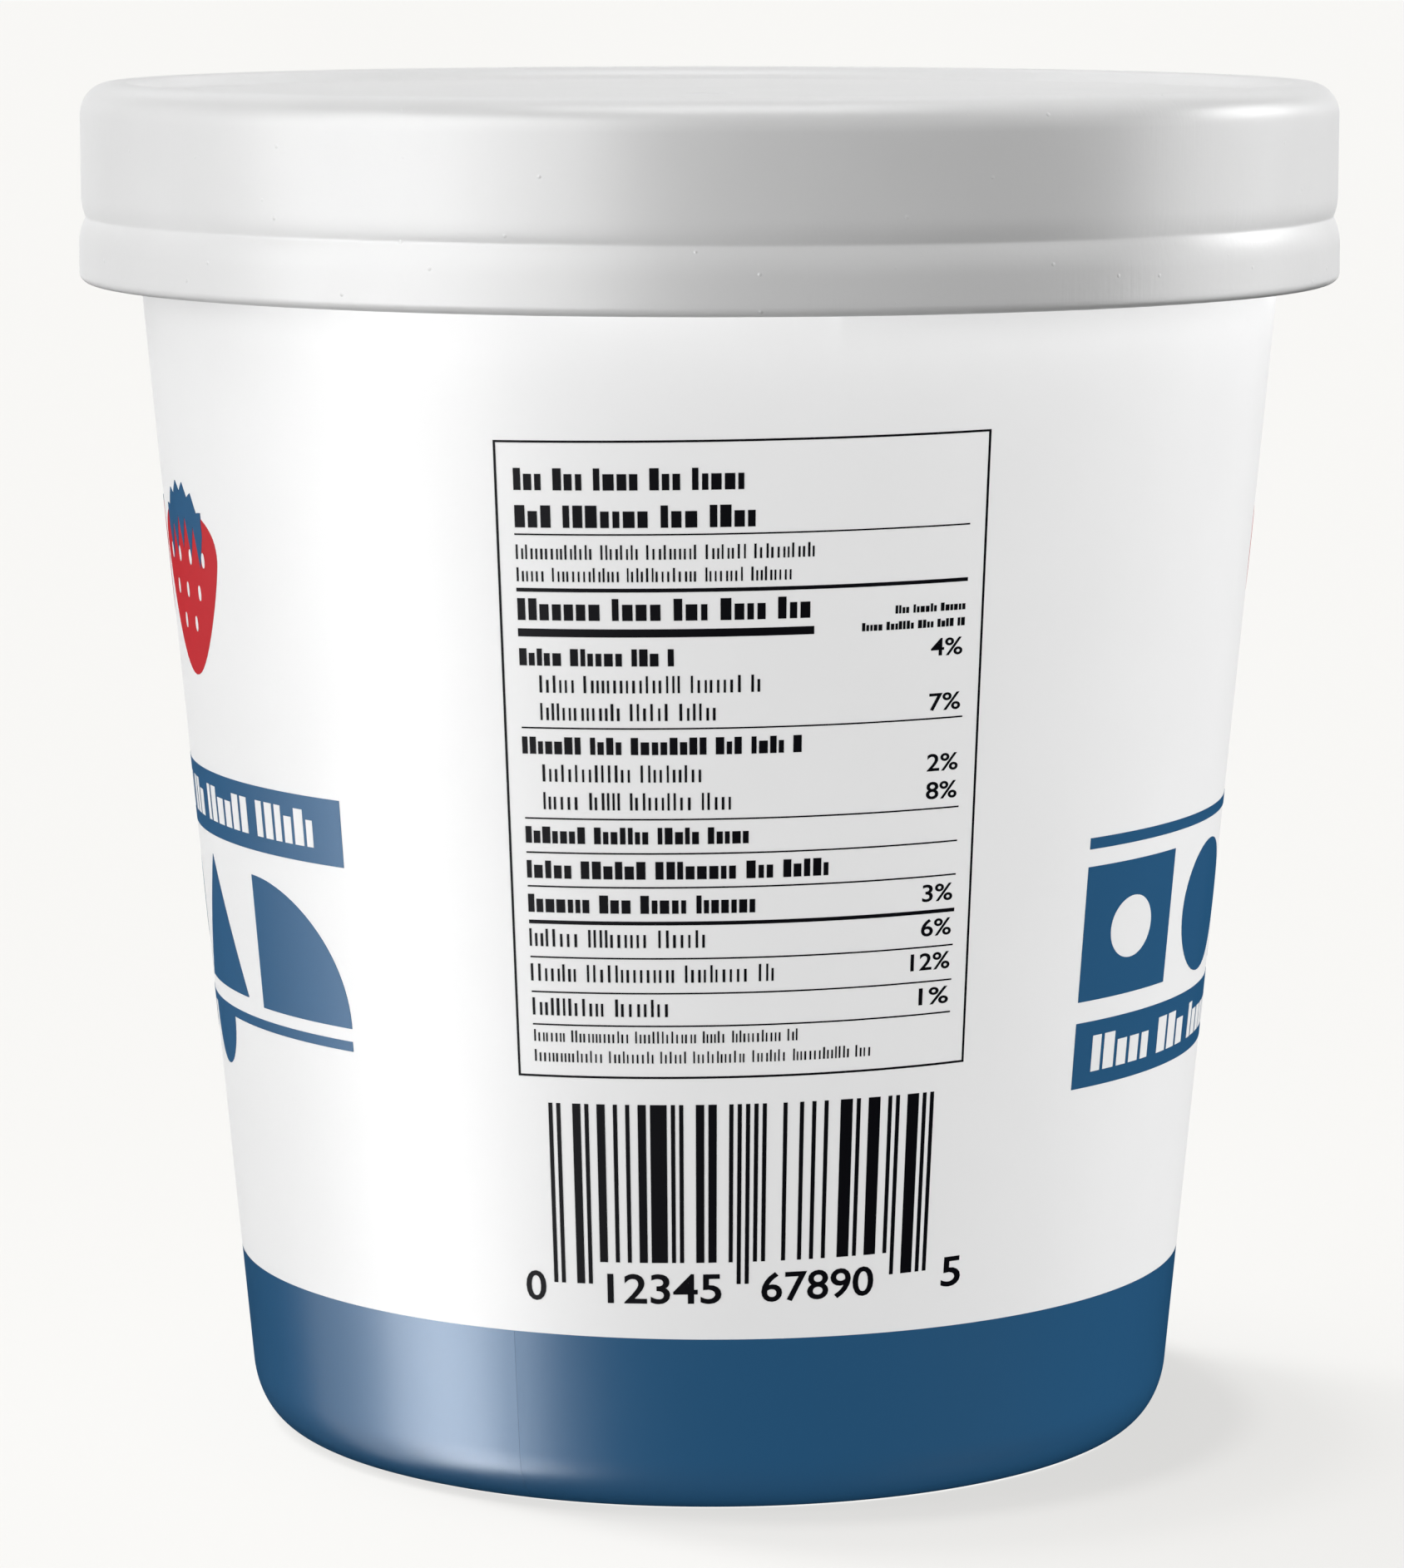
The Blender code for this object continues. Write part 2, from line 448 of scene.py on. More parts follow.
@dataclass(frozen=True)
class Finish:
    """A moulded or printed plastic surface.

    Attributes:
        name: The material's name.
        colour: sRGB hex of the plastic or ink.
        shade: sRGB hex of its slightly darker clouds.
        roughness: Of the gloss, at its middle.
        specular: Specular level, 0.5 for a plastic of IOR 1.5.
        reliefs: Layers of fine relief.
        specks: Depth of sparse bumps the size of dust, in millimetres.
        speck_gap: Distance between specks, in millimetres.
        speck_edge: A speck's outer and inner radius, as shares of the gap.
        colour_cloud: Size of the clouds of colour, in millimetres.
        gloss_cloud: Size of the clouds of gloss, in millimetres.
        gloss_swing: How far the roughness goes up and down.
    """

    name: str
    colour: str
    shade: str
    roughness: float
    specular: float
    reliefs: tuple[Relief, ...]
    specks: float = 0.0
    speck_gap: float = 2.6
    speck_edge: tuple[float, float] = (0.075, 0.02)
    colour_cloud: float = 9.0
    gloss_cloud: float = 7.0
    gloss_swing: float = 0.01

    def cloud(self, tree: bpy.types.NodeTree, size: float, stretch: float = 1.0) -> bpy.types.NodeSocket:
        """Noise on Object coordinates with features of a size in millimetres, drawn out along Z."""
        place = add(tree, "ShaderNodeTexCoord", {}, {}).outputs["Object"]
        fit = add(tree, "ShaderNodeMapping", {}, {"Vector": place, "Scale": (1.0, 1.0, 1.0 / stretch)})
        inputs = {"Vector": fit.outputs[0], "Scale": 1 / (size * MM), "Detail": 2.0}
        return add(tree, "ShaderNodeTexNoise", {}, inputs).outputs[0]

    def bumps(self, tree: bpy.types.NodeTree) -> bpy.types.NodeSocket:
        """The reliefs and specks as a chain of Bump nodes. Returns the last one's normal."""
        normal = None
        for relief in self.reliefs:
            height = self.cloud(tree, relief.size, relief.stretch)
            if relief.patchy:
                inputs = {0: self.cloud(tree, relief.patchy), 1: 0.52, 2: 0.66, 3: 0.12, 4: 1.0}
                mask = add(tree, "ShaderNodeMapRange", {}, inputs).outputs[0]
                inputs = {0: height, 1: mask}
                height = add(tree, "ShaderNodeMath", {"operation": "MULTIPLY"}, inputs).outputs[0]
            inputs = {"Height": height, "Distance": relief.depth * MM, "Strength": 1.0}
            if normal:
                inputs["Normal"] = normal
            normal = add(tree, "ShaderNodeBump", {}, inputs).outputs[0]
        if self.specks:
            place = add(tree, "ShaderNodeTexCoord", {}, {}).outputs["Object"]
            inputs = {"Vector": place, "Scale": 1 / (self.speck_gap * MM)}
            distance = add(tree, "ShaderNodeTexVoronoi", {}, inputs).outputs["Distance"]
            outer, inner = self.speck_edge
            inputs = {0: distance, 1: outer, 2: inner, 3: 0.0, 4: 1.0}
            grain = add(tree, "ShaderNodeMapRange", {"interpolation_type": "SMOOTHSTEP"}, inputs).outputs[0]
            inputs = {"Height": grain, "Distance": self.specks * MM, "Normal": normal}
            normal = add(tree, "ShaderNodeBump", {}, inputs).outputs[0]
        return normal

    def material(self) -> bpy.types.Material:
        """The finish as a node material: clouded colour, clouded gloss and fine relief."""
        material = bpy.data.materials.new(self.name)
        material.use_nodes = True
        tree = material.node_tree
        shader = tree.nodes["Principled BSDF"]
        inputs = {0: self.cloud(tree, self.colour_cloud), 6: linear(self.shade), 7: linear(self.colour)}
        colour = add(tree, "ShaderNodeMix", {"data_type": "RGBA"}, inputs)
        least, most = self.roughness - self.gloss_swing, self.roughness + self.gloss_swing
        inputs = {0: self.cloud(tree, self.gloss_cloud), 1: 0.2, 2: 0.8, 3: least, 4: most}
        gloss = add(tree, "ShaderNodeMapRange", {}, inputs)
        tree.links.new(colour.outputs[2], shader.inputs["Base Color"])
        tree.links.new(gloss.outputs[0], shader.inputs["Roughness"])
        tree.links.new(self.bumps(tree), shader.inputs["Normal"])
        shader.inputs["Specular IOR Level"].default_value = self.specular
        return material


# Injection-moulded polypropylene from an eroded mould: milky white, fine orange peel, flow lines up the
# skirt and a few specks of mould dust.
LID_PLASTIC = Finish(
    "moulded_polypropylene_lid",
    "#E6E6E6",
    "#E1E1E1",
    0.32,
    0.25,
    (Relief(1.1, 0.012), Relief(0.4, 0.012, 18.0, 14.0)),
    specks=0.04,
)
# The same resin in a polished mould, as it shows on the foot, under the seam and on the underside.
TUB_PLASTIC = Finish("moulded_polypropylene_tub", "#EAEAEA", "#E6E6E6", 0.45, 0.25, (Relief(1.4, 0.010),))
# Printed polypropylene film laid in the mould: smooth, with a trace of fine ribs where it was drawn.
WHITE_FILM = Finish(
    "printed_film_white", "#F6F6F6", "#F3F3F3", 0.48, 0.25, (Relief(2.2, 0.006), Relief(0.35, 0.0012, 60.0))
)
BLUE_FILM = Finish(
    "printed_film_blue", "#29587F", "#28577D", 0.29, 0.25, (Relief(2.2, 0.002), Relief(0.35, 0.0016, 60.0))
)
# Gravure inks on the film, duller than its varnished band.
BLUE_INK = Finish("gravure_ink_blue", "#29587F", "#28577D", 0.42, 0.15, (Relief(2.2, 0.002),))
BLACK_INK = Finish("gravure_ink_black", "#0C0C10", "#0A0A0E", 0.5, 0.04, (Relief(2.2, 0.002),))
RED_INK = Finish("gravure_ink_red", "#C1252D", "#B9222A", 0.5, 0.12, (Relief(2.2, 0.006),))
WHITE_INK = Finish("gravure_ink_white", "#F4F4F4", "#F0F0F0", 0.48, 0.25, (Relief(2.2, 0.006),))


@dataclass
class Workshop:
    """Hangs finished meshes in the scene as pieces, and sorts them for the lamps.

    Attributes:
        lid: Pieces that the lid's lamps light.
        tub: Pieces that the tub's lamps light.
        floor: The floor alone.
    """

    lid: bpy.types.Collection
    tub: bpy.types.Collection
    floor: bpy.types.Collection
    made: dict[str, bpy.types.Material] = field(default_factory=dict)

    def hang(
        self, name: str, mesh: bpy.types.Mesh, finish: Finish, slot: Slot, target: Target
    ) -> bpy.types.Object:
        """Makes an object of a mesh, smooth but for its sharp edges, that rides on the pot.

        Args:
            name: The piece's name.
            mesh: Its mesh, in metres, in place.
            finish: Its finish.
            slot: The record's slot that the finish stands for. Not used.
            target: The group of lamps that light it.

        Returns:
            The object.
        """
        if finish.name not in self.made:
            self.made[finish.name] = finish.material()
        mesh.materials.append(self.made[finish.name])
        mesh.shade_smooth()
        mesh.set_sharp_from_angle(angle=SMOOTH_BELOW)
        piece = bpy.data.objects.new(name, mesh)
        bpy.context.scene.collection.objects.link(piece)
        self.group(target).objects.link(piece)
        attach(piece, "root")
        LOG.info("%s: %d faces, %s", name, len(mesh.polygons), finish.name)
        return piece

    def group(self, target: Target) -> bpy.types.Collection:
        """The pieces of one target."""
        return self.lid if target is Target.LID else self.tub

    def hang_print(self, name: str, layer: InkLayer, finish: Finish, slot: Slot) -> None:
        """Hangs a layer of print on the tub."""
        self.hang(name, layer.mesh(name), finish, slot, Target.TUB)


# Sub-assemblies


@dataclass
class Lid:
    """The lid: a thin shell with a set-in panel, a crest, a rounded shoulder and a skirt in two steps."""

    radius: float = 51.0
    top: float = 109.4
    height: float = 15.9
    wall: float = 0.8
    skirt_wall: float = 1.2
    set_back: float = 0.2
    shoulder_width: float = 2.5
    shoulder_drop: float = 2.5
    crest_width: float = 1.0
    recess: float = 1.0
    slope_width: float = 2.0
    groove_height: float = 5.2
    groove_depth: float = 0.55
    roll_above: float = 1.9
    roll_below: float = 2.3
    crease: float = 0.12
    lip_round: float = 0.75
    gate_radius: float = 1.9
    gate_depth: float = 0.06
    ring_radius: float = 9.0
    ring_depth: float = 0.03

    @property
    def skirt(self) -> float:
        """Radius of the upper skirt."""
        return self.radius - self.set_back

    @property
    def lip(self) -> float:
        """Height of the lip."""
        return self.top - self.height

    def outer(self) -> list[np.ndarray]:
        """The outer side, from the middle of the panel over the crest and down the skirt to the lip."""
        panel = self.top - self.recess
        crest_out = self.skirt - self.shoulder_width
        crest_in = crest_out - self.crest_width
        edge = crest_in - self.slope_width
        groove = self.lip + self.groove_height
        throat = self.radius - self.groove_depth
        dimple = panel - self.gate_depth
        ring = panel - self.ring_depth
        middle = ((edge + crest_in) / 2, (panel + self.top) / 2)
        rows = [np.array([(0.0, panel), (0.35, panel)])]
        rows += [quarter((0.35, panel), (0.75, dimple), (0.75, panel), 4)]
        rows += [line((0.75, dimple), (self.gate_radius - 0.5, dimple), 2)]
        rows += [quarter(rows[-1][-1], (self.gate_radius, panel), (self.gate_radius, dimple), 6)]
        rows += [line(rows[-1][-1], (self.ring_radius - 0.5, panel), 3)]
        rows += [quarter(rows[-1][-1], (self.ring_radius, ring), (self.ring_radius, panel), 4)]
        rows += [quarter(rows[-1][-1], (self.ring_radius + 0.5, panel), (self.ring_radius, panel), 4)]
        rows += [line(rows[-1][-1], (edge, panel), 12)]
        rows += [conic(rows[-1][-1], ((edge + middle[0]) / 2, panel), middle, 1.0, 8)]
        rows += [conic(middle, ((crest_in + middle[0]) / 2, self.top), (crest_in, self.top), 1.0, 8)]
        rows += [line(rows[-1][-1], (crest_out, self.top), 3)]
        shoulder = (self.skirt, self.top - self.shoulder_drop)
        rows += [quarter(rows[-1][-1], shoulder, (self.skirt, self.top), 18)]
        rows += [line(rows[-1][-1], (self.skirt, groove + self.roll_above), 8)]
        crease = self.crease
        above, below = (throat + crease / 3, groove + crease), (throat + crease / 2, groove - crease)
        rows += [conic(rows[-1][-1], (self.skirt, groove + self.roll_above / 2), above, 1.0, 12)]
        rows += [conic(above, (throat, groove), below, 1.0, 4)]
        end = (self.radius, groove - self.roll_below)
        rows += [conic(below, (self.radius, groove - self.roll_below / 2), end, 1.0, 12)]
        rows += [line(rows[-1][-1], (self.radius, self.lip + self.lip_round), 6)]
        rows += [quarter(rows[-1][-1], (self.radius - self.lip_round, self.lip), (self.radius, self.lip), 8)]
        return rows

    def profile(self) -> np.ndarray:
        """The whole section: the outer side, then the inner side back up to the middle."""
        inner = self.skirt - self.skirt_wall - self.groove_depth / 2
        crest_out = self.skirt - self.shoulder_width
        crest_in = crest_out - self.crest_width
        edge = crest_in - self.slope_width
        ceiling = self.top - self.recess - self.wall
        high = self.top - self.wall
        rows = self.outer()
        rows += [line(rows[-1][-1], (inner, self.lip), 1)]
        rows += [line(rows[-1][-1], (inner, high - self.shoulder_drop / 2), 4)]
        rows += [quarter(rows[-1][-1], (crest_out, high), (inner, high), 6)]
        rows += [np.array([(crest_in - self.wall, high), (edge - self.wall, ceiling), (0.0, ceiling)])]
        return np.concatenate(rows)

    def build(self, shop: Workshop) -> None:
        """Makes the lid, which stands for the CAD node of the same name."""
        mesh = turned_mesh("lid_shell", self.profile())
        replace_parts(shop.hang("lid_shell", mesh, LID_PLASTIC, Slot.LID, Target.LID), "lid")


@dataclass
class Tub:
    """The tub: a tapered wall, a rounded heel, a foot ring, and a rim bead under the lid."""

    lid: Lid
    clearance: float = 0.3
    bead_height: float = 3.0
    bead_width: float = 2.2
    bead_round: float = 0.7
    ring_width: float = 2.8
    base_recess: float = 1.2
    recess_run: float = 0.9
    rib_radius: float = 19.0
    rib_width: float = 1.6
    rib_depth: float = 0.35
    gate_radius: float = 1.3
    gate_depth: float = 0.5

    def profile(self) -> np.ndarray:
        """The outline from the middle of the top over the rim bead, down the wall and in under the base."""
        lid = self.lid
        top = lid.top - lid.recess - lid.wall - self.clearance
        bead_top = lid.top - lid.wall - self.clearance
        bead_low = bead_top - self.bead_height
        bead_out = lid.skirt - lid.skirt_wall - lid.groove_depth / 2 - self.clearance
        bead_in = bead_out - self.bead_width
        crown = ((bead_in + bead_out) / 2, bead_top)
        brim = (bead_out, bead_top - lid.shoulder_drop / 2)
        rows = [np.array([(0.0, top), (bead_in - self.bead_round, top)])]
        rows += [np.array([(bead_in, bead_top - self.bead_round / 2), crown])]
        rows += [quarter(crown, brim, (bead_out, bead_top), 6)]
        rows += [line(brim, (bead_out, bead_low + self.bead_round), 2)]
        rows += [quarter(rows[-1][-1], (bead_out - self.bead_round, bead_low), (bead_out, bead_low), 4)]
        rows += [line(rows[-1][-1], (WALL.radius(bead_low), bead_low), 1)]
        rows += [line(rows[-1][-1], (WALL.radius(WALL.heel_height), WALL.heel_height), 24)]
        rows += [WALL.heel(24)]
        rows += [self.base()]
        return np.concatenate(rows)

    def base(self) -> np.ndarray:
        """The underside from the foot ring inwards: a set-in panel with one moulded ring and a gate nub."""
        ring_in = WALL.foot_radius - self.ring_width
        panel = self.base_recess
        rib_out, rib_in = self.rib_radius + self.rib_width / 2, self.rib_radius - self.rib_width / 2
        rib_low = panel - self.rib_depth
        rows = [line((WALL.foot_radius, 0.0), (ring_in, 0.0), 2)]
        panel_out = ring_in - self.recess_run
        rows += [quarter(rows[-1][-1], (panel_out, panel), (panel_out, 0.0), 8)]
        rows += [line(rows[-1][-1], (rib_out, panel), 4)]
        rows += [quarter(rows[-1][-1], (self.rib_radius, rib_low), (rib_out, rib_low), 5)]
        rows += [quarter(rows[-1][-1], (rib_in, panel), (rib_in, rib_low), 5)]
        rows += [line(rows[-1][-1], (self.gate_radius, panel), 6)]
        nub = panel - self.gate_depth
        rows += [quarter(rows[-1][-1], (0.4, nub), (0.9, nub), 5)]
        rows += [np.array([(0.0, nub)])]
        return np.concatenate(rows)

    def build(self, shop: Workshop) -> None:
        """Makes the bare tub, which stands for the CAD node of the same name."""
        mesh = turned_mesh("tub_body", self.profile())
        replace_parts(shop.hang("tub_body", mesh, TUB_PLASTIC, Slot.FILM, Target.TUB), "tub")


@dataclass
class Wrap:
    """The printed film round the wall and heel: one sheet whose ends meet at a fine butt seam."""

    thickness: float = 0.06
    sink: float = 0.03
    top: float = 96.0
    bottom_share: float = 0.86
    seam_turn: float = -23.0
    white_gap: float = 0.0
    blue_gap: float = 0.015
    steps: int = 360

    def rows(self, low_part: bool) -> np.ndarray:
        """Radius and height down the film: the blue part round the foot, or the white part over it."""
        if not low_part:
            start = (WALL.radius(self.top), self.top)
            end = (WALL.radius(WALL.band_height), WALL.band_height)
            return np.concatenate([[start], line(start, end, 28)])
        start = (WALL.radius(WALL.band_height), WALL.band_height)
        end = (WALL.radius(WALL.heel_height), WALL.heel_height)
        heel = WALL.heel(28)
        return np.concatenate([[start], line(start, end, 6), heel[: int(len(heel) * self.bottom_share)]])

    def mesh(self, name: str, low_part: bool) -> bpy.types.Mesh:
        """The film over a full turn less the seam, offset to both sides along the outline's own normals."""
        rows = self.rows(low_part)[::-1]
        slope = np.gradient(rows, axis=0)
        normal = np.stack([slope[:, 1], -slope[:, 0]], axis=1)
        normal /= np.linalg.norm(normal, axis=1, keepdims=True)
        gap = self.blue_gap if low_part else self.white_gap
        half_gap = math.degrees(gap / 2 / WALL.floor_radius)
        ends = (self.seam_turn + half_gap, self.seam_turn + 360 - half_gap)
        turn = np.radians(np.linspace(*ends, self.steps + 1))[:, None]
        sides = [((rows + normal * lift) * MM).T for lift in (self.thickness, -self.sink)]
        points, faces = slab(*(around(turn, radius, height) for radius, height in sides))
        return new_mesh(name, points, faces.tolist())

    def build(self, shop: Workshop) -> None:
        """Makes the film's white part and its blue part."""
        shop.hang("wrap_white", self.mesh("wrap_white", False), WHITE_FILM, Slot.FILM, Target.TUB)
        shop.hang("wrap_blue_band", self.mesh("wrap_blue_band", True), BLUE_FILM, Slot.BLUE, Target.TUB)


@dataclass(frozen=True)
class TextLine:
    """One line of the table: where it starts and ends, its foot and top, and its weight."""

    left: float
    right: float
    low: float
    high: float
    weight: Weight = Weight.REGULAR


@dataclass
class FactsTable:
    """The framed table: rules, lines of blocks in place of words, and a column of plain figures."""

    left: float = -21.1
    right: float = 27.85
    low: float = 35.02
    high: float = 84.14
    inner_left: float = -19.24
    inner_right: float = 25.92
    frame_width: float = 0.17
    skew: float = 0.0130
    spread: float = 0.00031
    thin: float = 0.12
    thick: float = 0.29
    heavy: float = 0.62
    thin_rules: tuple[float, ...] = (77.03, 62.25, 55.26, 52.61, 49.98, 44.45, 41.72, 39.16)
    thick_rules: tuple[float, ...] = (72.81, 47.20)
    heavy_rule: float = 69.55
    heavy_right: float = 10.1
    figure_height: float = 1.36
    figure_width: float = 3.45
    figure_right: float = 25.62
    first_seed: int = 20
    texts: tuple[str, ...] = ("4%", "7%", "2%", "8%", "3%", "6%", "12%", "1%")
    text_heights: tuple[float, ...] = (67.74, 63.52, 58.83, 56.66, 48.66, 45.95, 43.29, 40.55)
    lines: tuple[TextLine, ...] = (
        TextLine(-19.15, 3.22, 80.38, 82.05, Weight.BOLD),
        TextLine(-19.15, 4.30, 77.55, 79.24, Weight.BOLD),
        TextLine(-19.15, 10.03, 75.14, 76.25),
        TextLine(-19.15, 7.80, 73.45, 74.51),
        TextLine(-19.2, 9.68, 70.50, 72.17, Weight.BOLD),
        TextLine(18.3, 25.76, 70.50, 71.13, Weight.BOLD),
        TextLine(14.9, 25.76, 69.28, 69.91, Weight.BOLD),
        TextLine(-19.2, -3.66, 67.03, 68.34, Weight.BOLD),
        TextLine(-17.2, 4.80, 64.97, 66.29),
        TextLine(-17.2, 0.41, 62.85, 64.16),
        TextLine(-19.25, 8.99, 60.24, 61.56, Weight.BOLD),
        TextLine(-17.2, -1.06, 58.12, 59.44),
        TextLine(-17.2, 1.90, 55.97, 57.30),
        TextLine(-19.25, 3.70, 53.34, 54.63, Weight.BOLD),
        TextLine(-19.25, 11.92, 50.62, 51.99, Weight.BOLD),
        TextLine(-19.25, 4.39, 47.96, 49.36, Weight.BOLD),
        TextLine(-19.25, -0.79, 45.29, 46.66),
        TextLine(-19.25, 6.34, 42.57, 43.92),
        TextLine(-19.2, -4.68, 39.89, 41.25),
        TextLine(-19.15, 8.91, 37.82, 38.75),
        TextLine(-19.15, 16.85, 36.24, 37.17),
    )

    def ink(self) -> InkLayer:
        """A layer of black ink with the table's skew and spread."""
        return InkLayer(skew=self.skew, spread=self.spread, anchor=self.left, level=self.high)

    def build(self, shop: Workshop) -> None:
        """Prints the table's frame and rules, its lines and its figures."""
        ink = self.ink()
        side = math.degrees(self.frame_width / WALL.radius(self.low))
        ink.box(self.left, self.right, self.low, self.low + self.frame_width)
        ink.box(self.left, self.right, self.high - self.frame_width, self.high)
        ink.box(self.left, self.left + side, self.low, self.high)
        ink.box(self.right - side, self.right, self.low, self.high)
        for width, heights in ((self.thin, self.thin_rules), (self.thick, self.thick_rules)):
            for height in heights:
                ink.box(self.inner_left, self.inner_right, height - width / 2, height + width / 2)
        low = self.heavy_rule - self.heavy / 2
        ink.box(self.inner_left, self.heavy_right, low, low + self.heavy)
        shop.hang_print("table_rules", ink, BLACK_INK, Slot.BLACK)
        ink = self.ink()
        for number, row in enumerate(self.lines):
            ink.words(row.left, row.right, row.low, row.high, row.weight, self.first_seed + number)
        shop.hang_print("table_lines", ink, BLACK_INK, Slot.BLACK)
        ink = self.ink()
        for text, height in zip(self.texts, self.text_heights):
            width = self.figure_width * (len(text) + 1.25) / 3.25
            low = height - self.figure_height / 2
            ink.figures(text, self.figure_right - width, self.figure_right, low, low + self.figure_height)
        shop.hang_print("table_figures", ink, BLACK_INK, Slot.BLACK)


@dataclass
class BarCode:
    """A bar code of plain counting figures, built up from the code's own table of bars."""

    digits: str = "012345678905"
    left: float = -17.8
    right: float = 25.15
    top: float = 32.95
    short_foot: float = 20.4
    long_foot: float = 18.64
    skew: float = 0.0118
    figure_low: float = 17.1
    figure_high: float = 19.5
    spans: tuple[tuple[float, float], ...] = ((-21.2, -18.8), (-11.6, 1.3), (5.8, 18.75), (27.2, 29.7))
    codes: str = "0001101 0011001 0010011 0111101 0100011 0110001 0101111 0111011 0110111 0001011"

    def modules(self) -> tuple[np.ndarray, np.ndarray]:
        """Works out the code's ninety-five modules: guards, six left digits, and six right ones inverted.

        Returns:
            Whether each module is dark, and whether it reaches down to the long foot.
        """
        digits = [self.codes.split()[int(digit)] for digit in self.digits]
        left, right = digits[:6], [code.translate(str.maketrans("01", "10")) for code in digits[6:]]
        text = "101" + "".join(left) + "01010" + "".join(right) + "101"
        long = "1" * 10 + "0" * 35 + "1" * 5 + "0" * 35 + "1" * 10
        return np.array(list(text)) == "1", np.array(list(long)) == "1"

    def build(self, shop: Workshop) -> None:
        """Prints the bars, joined where they touch, and the figures under them."""
        dark, long = self.modules()
        edges = np.flatnonzero(np.diff(np.concatenate([[0], dark.astype(int), [0]])))
        starts, ends = edges[::2], edges[1::2]
        place = np.linspace(self.left, self.right, len(dark) + 1)
        foot = np.where(long[starts], self.long_foot, self.short_foot)
        ink = InkLayer(skew=self.skew)
        ink.boxes(place[starts], place[ends], foot, np.full(len(starts), self.top))
        shop.hang_print("bar_code_bars", ink, BLACK_INK, Slot.BLACK)
        ink = InkLayer(skew=self.skew)
        groups = (self.digits[0], self.digits[1:6], self.digits[6:11], self.digits[11])
        for text, (left, right) in zip(groups, self.spans):
            ink.figures(text, left, right, self.figure_low, self.figure_high)
        shop.hang_print("bar_code_figures", ink, BLACK_INK, Slot.BLACK)


@dataclass
class FrontPrint:
    """One of the two printed fronts: plain shapes, bars and fruit, laid out from its left end.

    Attributes:
        name: Name of the front, for its pieces.
        start: Turn of its left end. Every other turn is counted from there.
        width: How far it goes round.
    """

    name: str
    start: float
    width: float = 122.0
    rule: tuple[float, float, float, float] = (0.0, 62.0, 51.0, 51.9)
    banner: tuple[float, float, float, float] = (62.0, 122.0, 49.7, 55.0)
    banner_words: tuple[float, float, float, float] = (66.0, 117.5, 50.95, 53.85)
    box: tuple[float, float, float, float] = (0.0, 48.0, 31.8, 37.1)
    box_words: tuple[float, float, float, float] = (3.0, 45.0, 33.0, 35.9)
    strip: tuple[float, float, float, float] = (54.0, 121.3, 35.0, 35.8)
    scallops: tuple[tuple[float, ...], ...] = ((63.0, 3.2, 2.4), (75.5, 4.4, 3.6), (89.5, 5.2, 4.5))
    row_left: float = 44.2
    row_fall: float = 2.3
    shape_turn: float = 17.0
    shape_height: float = 10.8
    fruit_turns: tuple[float, ...] = (49.8, 71.6, 93.4)
    fruit_half_turn: float = 9.9
    fruit_low: float = 62.7
    fruit_high: float = 76.4
    shoulder_share: float = 0.72
    leaf_share: float = 0.66
    seed: tuple[float, float] = (0.42, 0.62)
    seed_rows: tuple[tuple[float, tuple[float, ...]], ...] = (
        (0.70, (-0.62, -0.21, 0.21, 0.62)),
        (0.50, (-0.42, 0.0, 0.42)),
        (0.31, (-0.21, 0.21)),
    )
    first_seed: int = 60

    def shapes(self, ink: InkLayer, gaps: InkLayer) -> None:
        """The row of six: a square with a hole, a disc, an arch, a ring, a triangle and a quarter disc."""
        half, tall = self.shape_turn / 2, self.shape_height / 2
        lefts = np.linspace(0.0, self.width - self.shape_turn - 0.6, 6)
        middles = self.start + lefts + half
        heights = self.row_left - self.row_fall * lefts / self.width
        feet = heights - tall
        ink.box(middles[0] - half, middles[0] + half, heights[0] - tall, heights[0] + tall)
        gaps.oval(middles[0], heights[0], half * 0.46, tall * 0.46)
        ink.oval(middles[1], heights[1], half, tall)
        t = half_circle()
        ink.strip(middles[2] - half * np.cos(t), feet[2], feet[2] + 2 * tall * np.sin(t))
        ink.oval(middles[3], heights[3], half, tall)
        gaps.oval(middles[3], heights[3], half * 0.5, tall * 0.5)
        turn = np.linspace(-half + 0.1, half - 0.1, CURVE_STEPS)
        ink.strip(middles[4] + turn, feet[4], feet[4] + 2 * tall * (1 - np.abs(turn) / half))
        t = np.linspace(0.0, math.pi / 2 - 0.04, CURVE_STEPS)
        ink.strip(middles[5] - half + 2 * half * np.sin(t), feet[5], feet[5] + 2 * tall * np.cos(t))

    def fruit(self, ink: InkLayer, leaves: InkLayer, seeds: InkLayer, turn: float) -> None:
        """One berry: a body that narrows downwards, a crown of five leaves, and rows of seeds.

        The body's top is a flat dome, and its foot falls with the cosine of the distance from the middle.
        """
        middle = self.start + turn
        share = np.sin(np.linspace(-1.0, 1.0, 33) * (math.pi / 2 - 0.05))
        tall = self.fruit_high - self.fruit_low
        drop = self.shoulder_share * tall
        shoulder = self.fruit_low + drop
        top = shoulder + (tall - drop) * np.sqrt(1 - share**2) ** 0.8
        foot = shoulder - drop * np.cos(share * math.pi / 2) ** 0.75
        ink.strip(middle + self.fruit_half_turn * share, foot, top)
        across = np.linspace(-1.0, 1.0, 41)
        points = 1 - np.abs((across * 2.5 + 0.5) % 1.0 * 2 - 1)
        low = self.fruit_high - 0.6 - 2.9 * points - 1.6 * np.abs(across)
        high = self.fruit_high + 1.9 - 2.2 * across**2 - 0.9 * points
        leaves.strip(middle + self.leaf_share * self.fruit_half_turn * across, low, high)
        for share_up, turns in self.seed_rows:
            for offset in turns:
                place = (middle + offset * self.fruit_half_turn, self.fruit_low + share_up * tall)
                seeds.oval(*place, *self.seed)

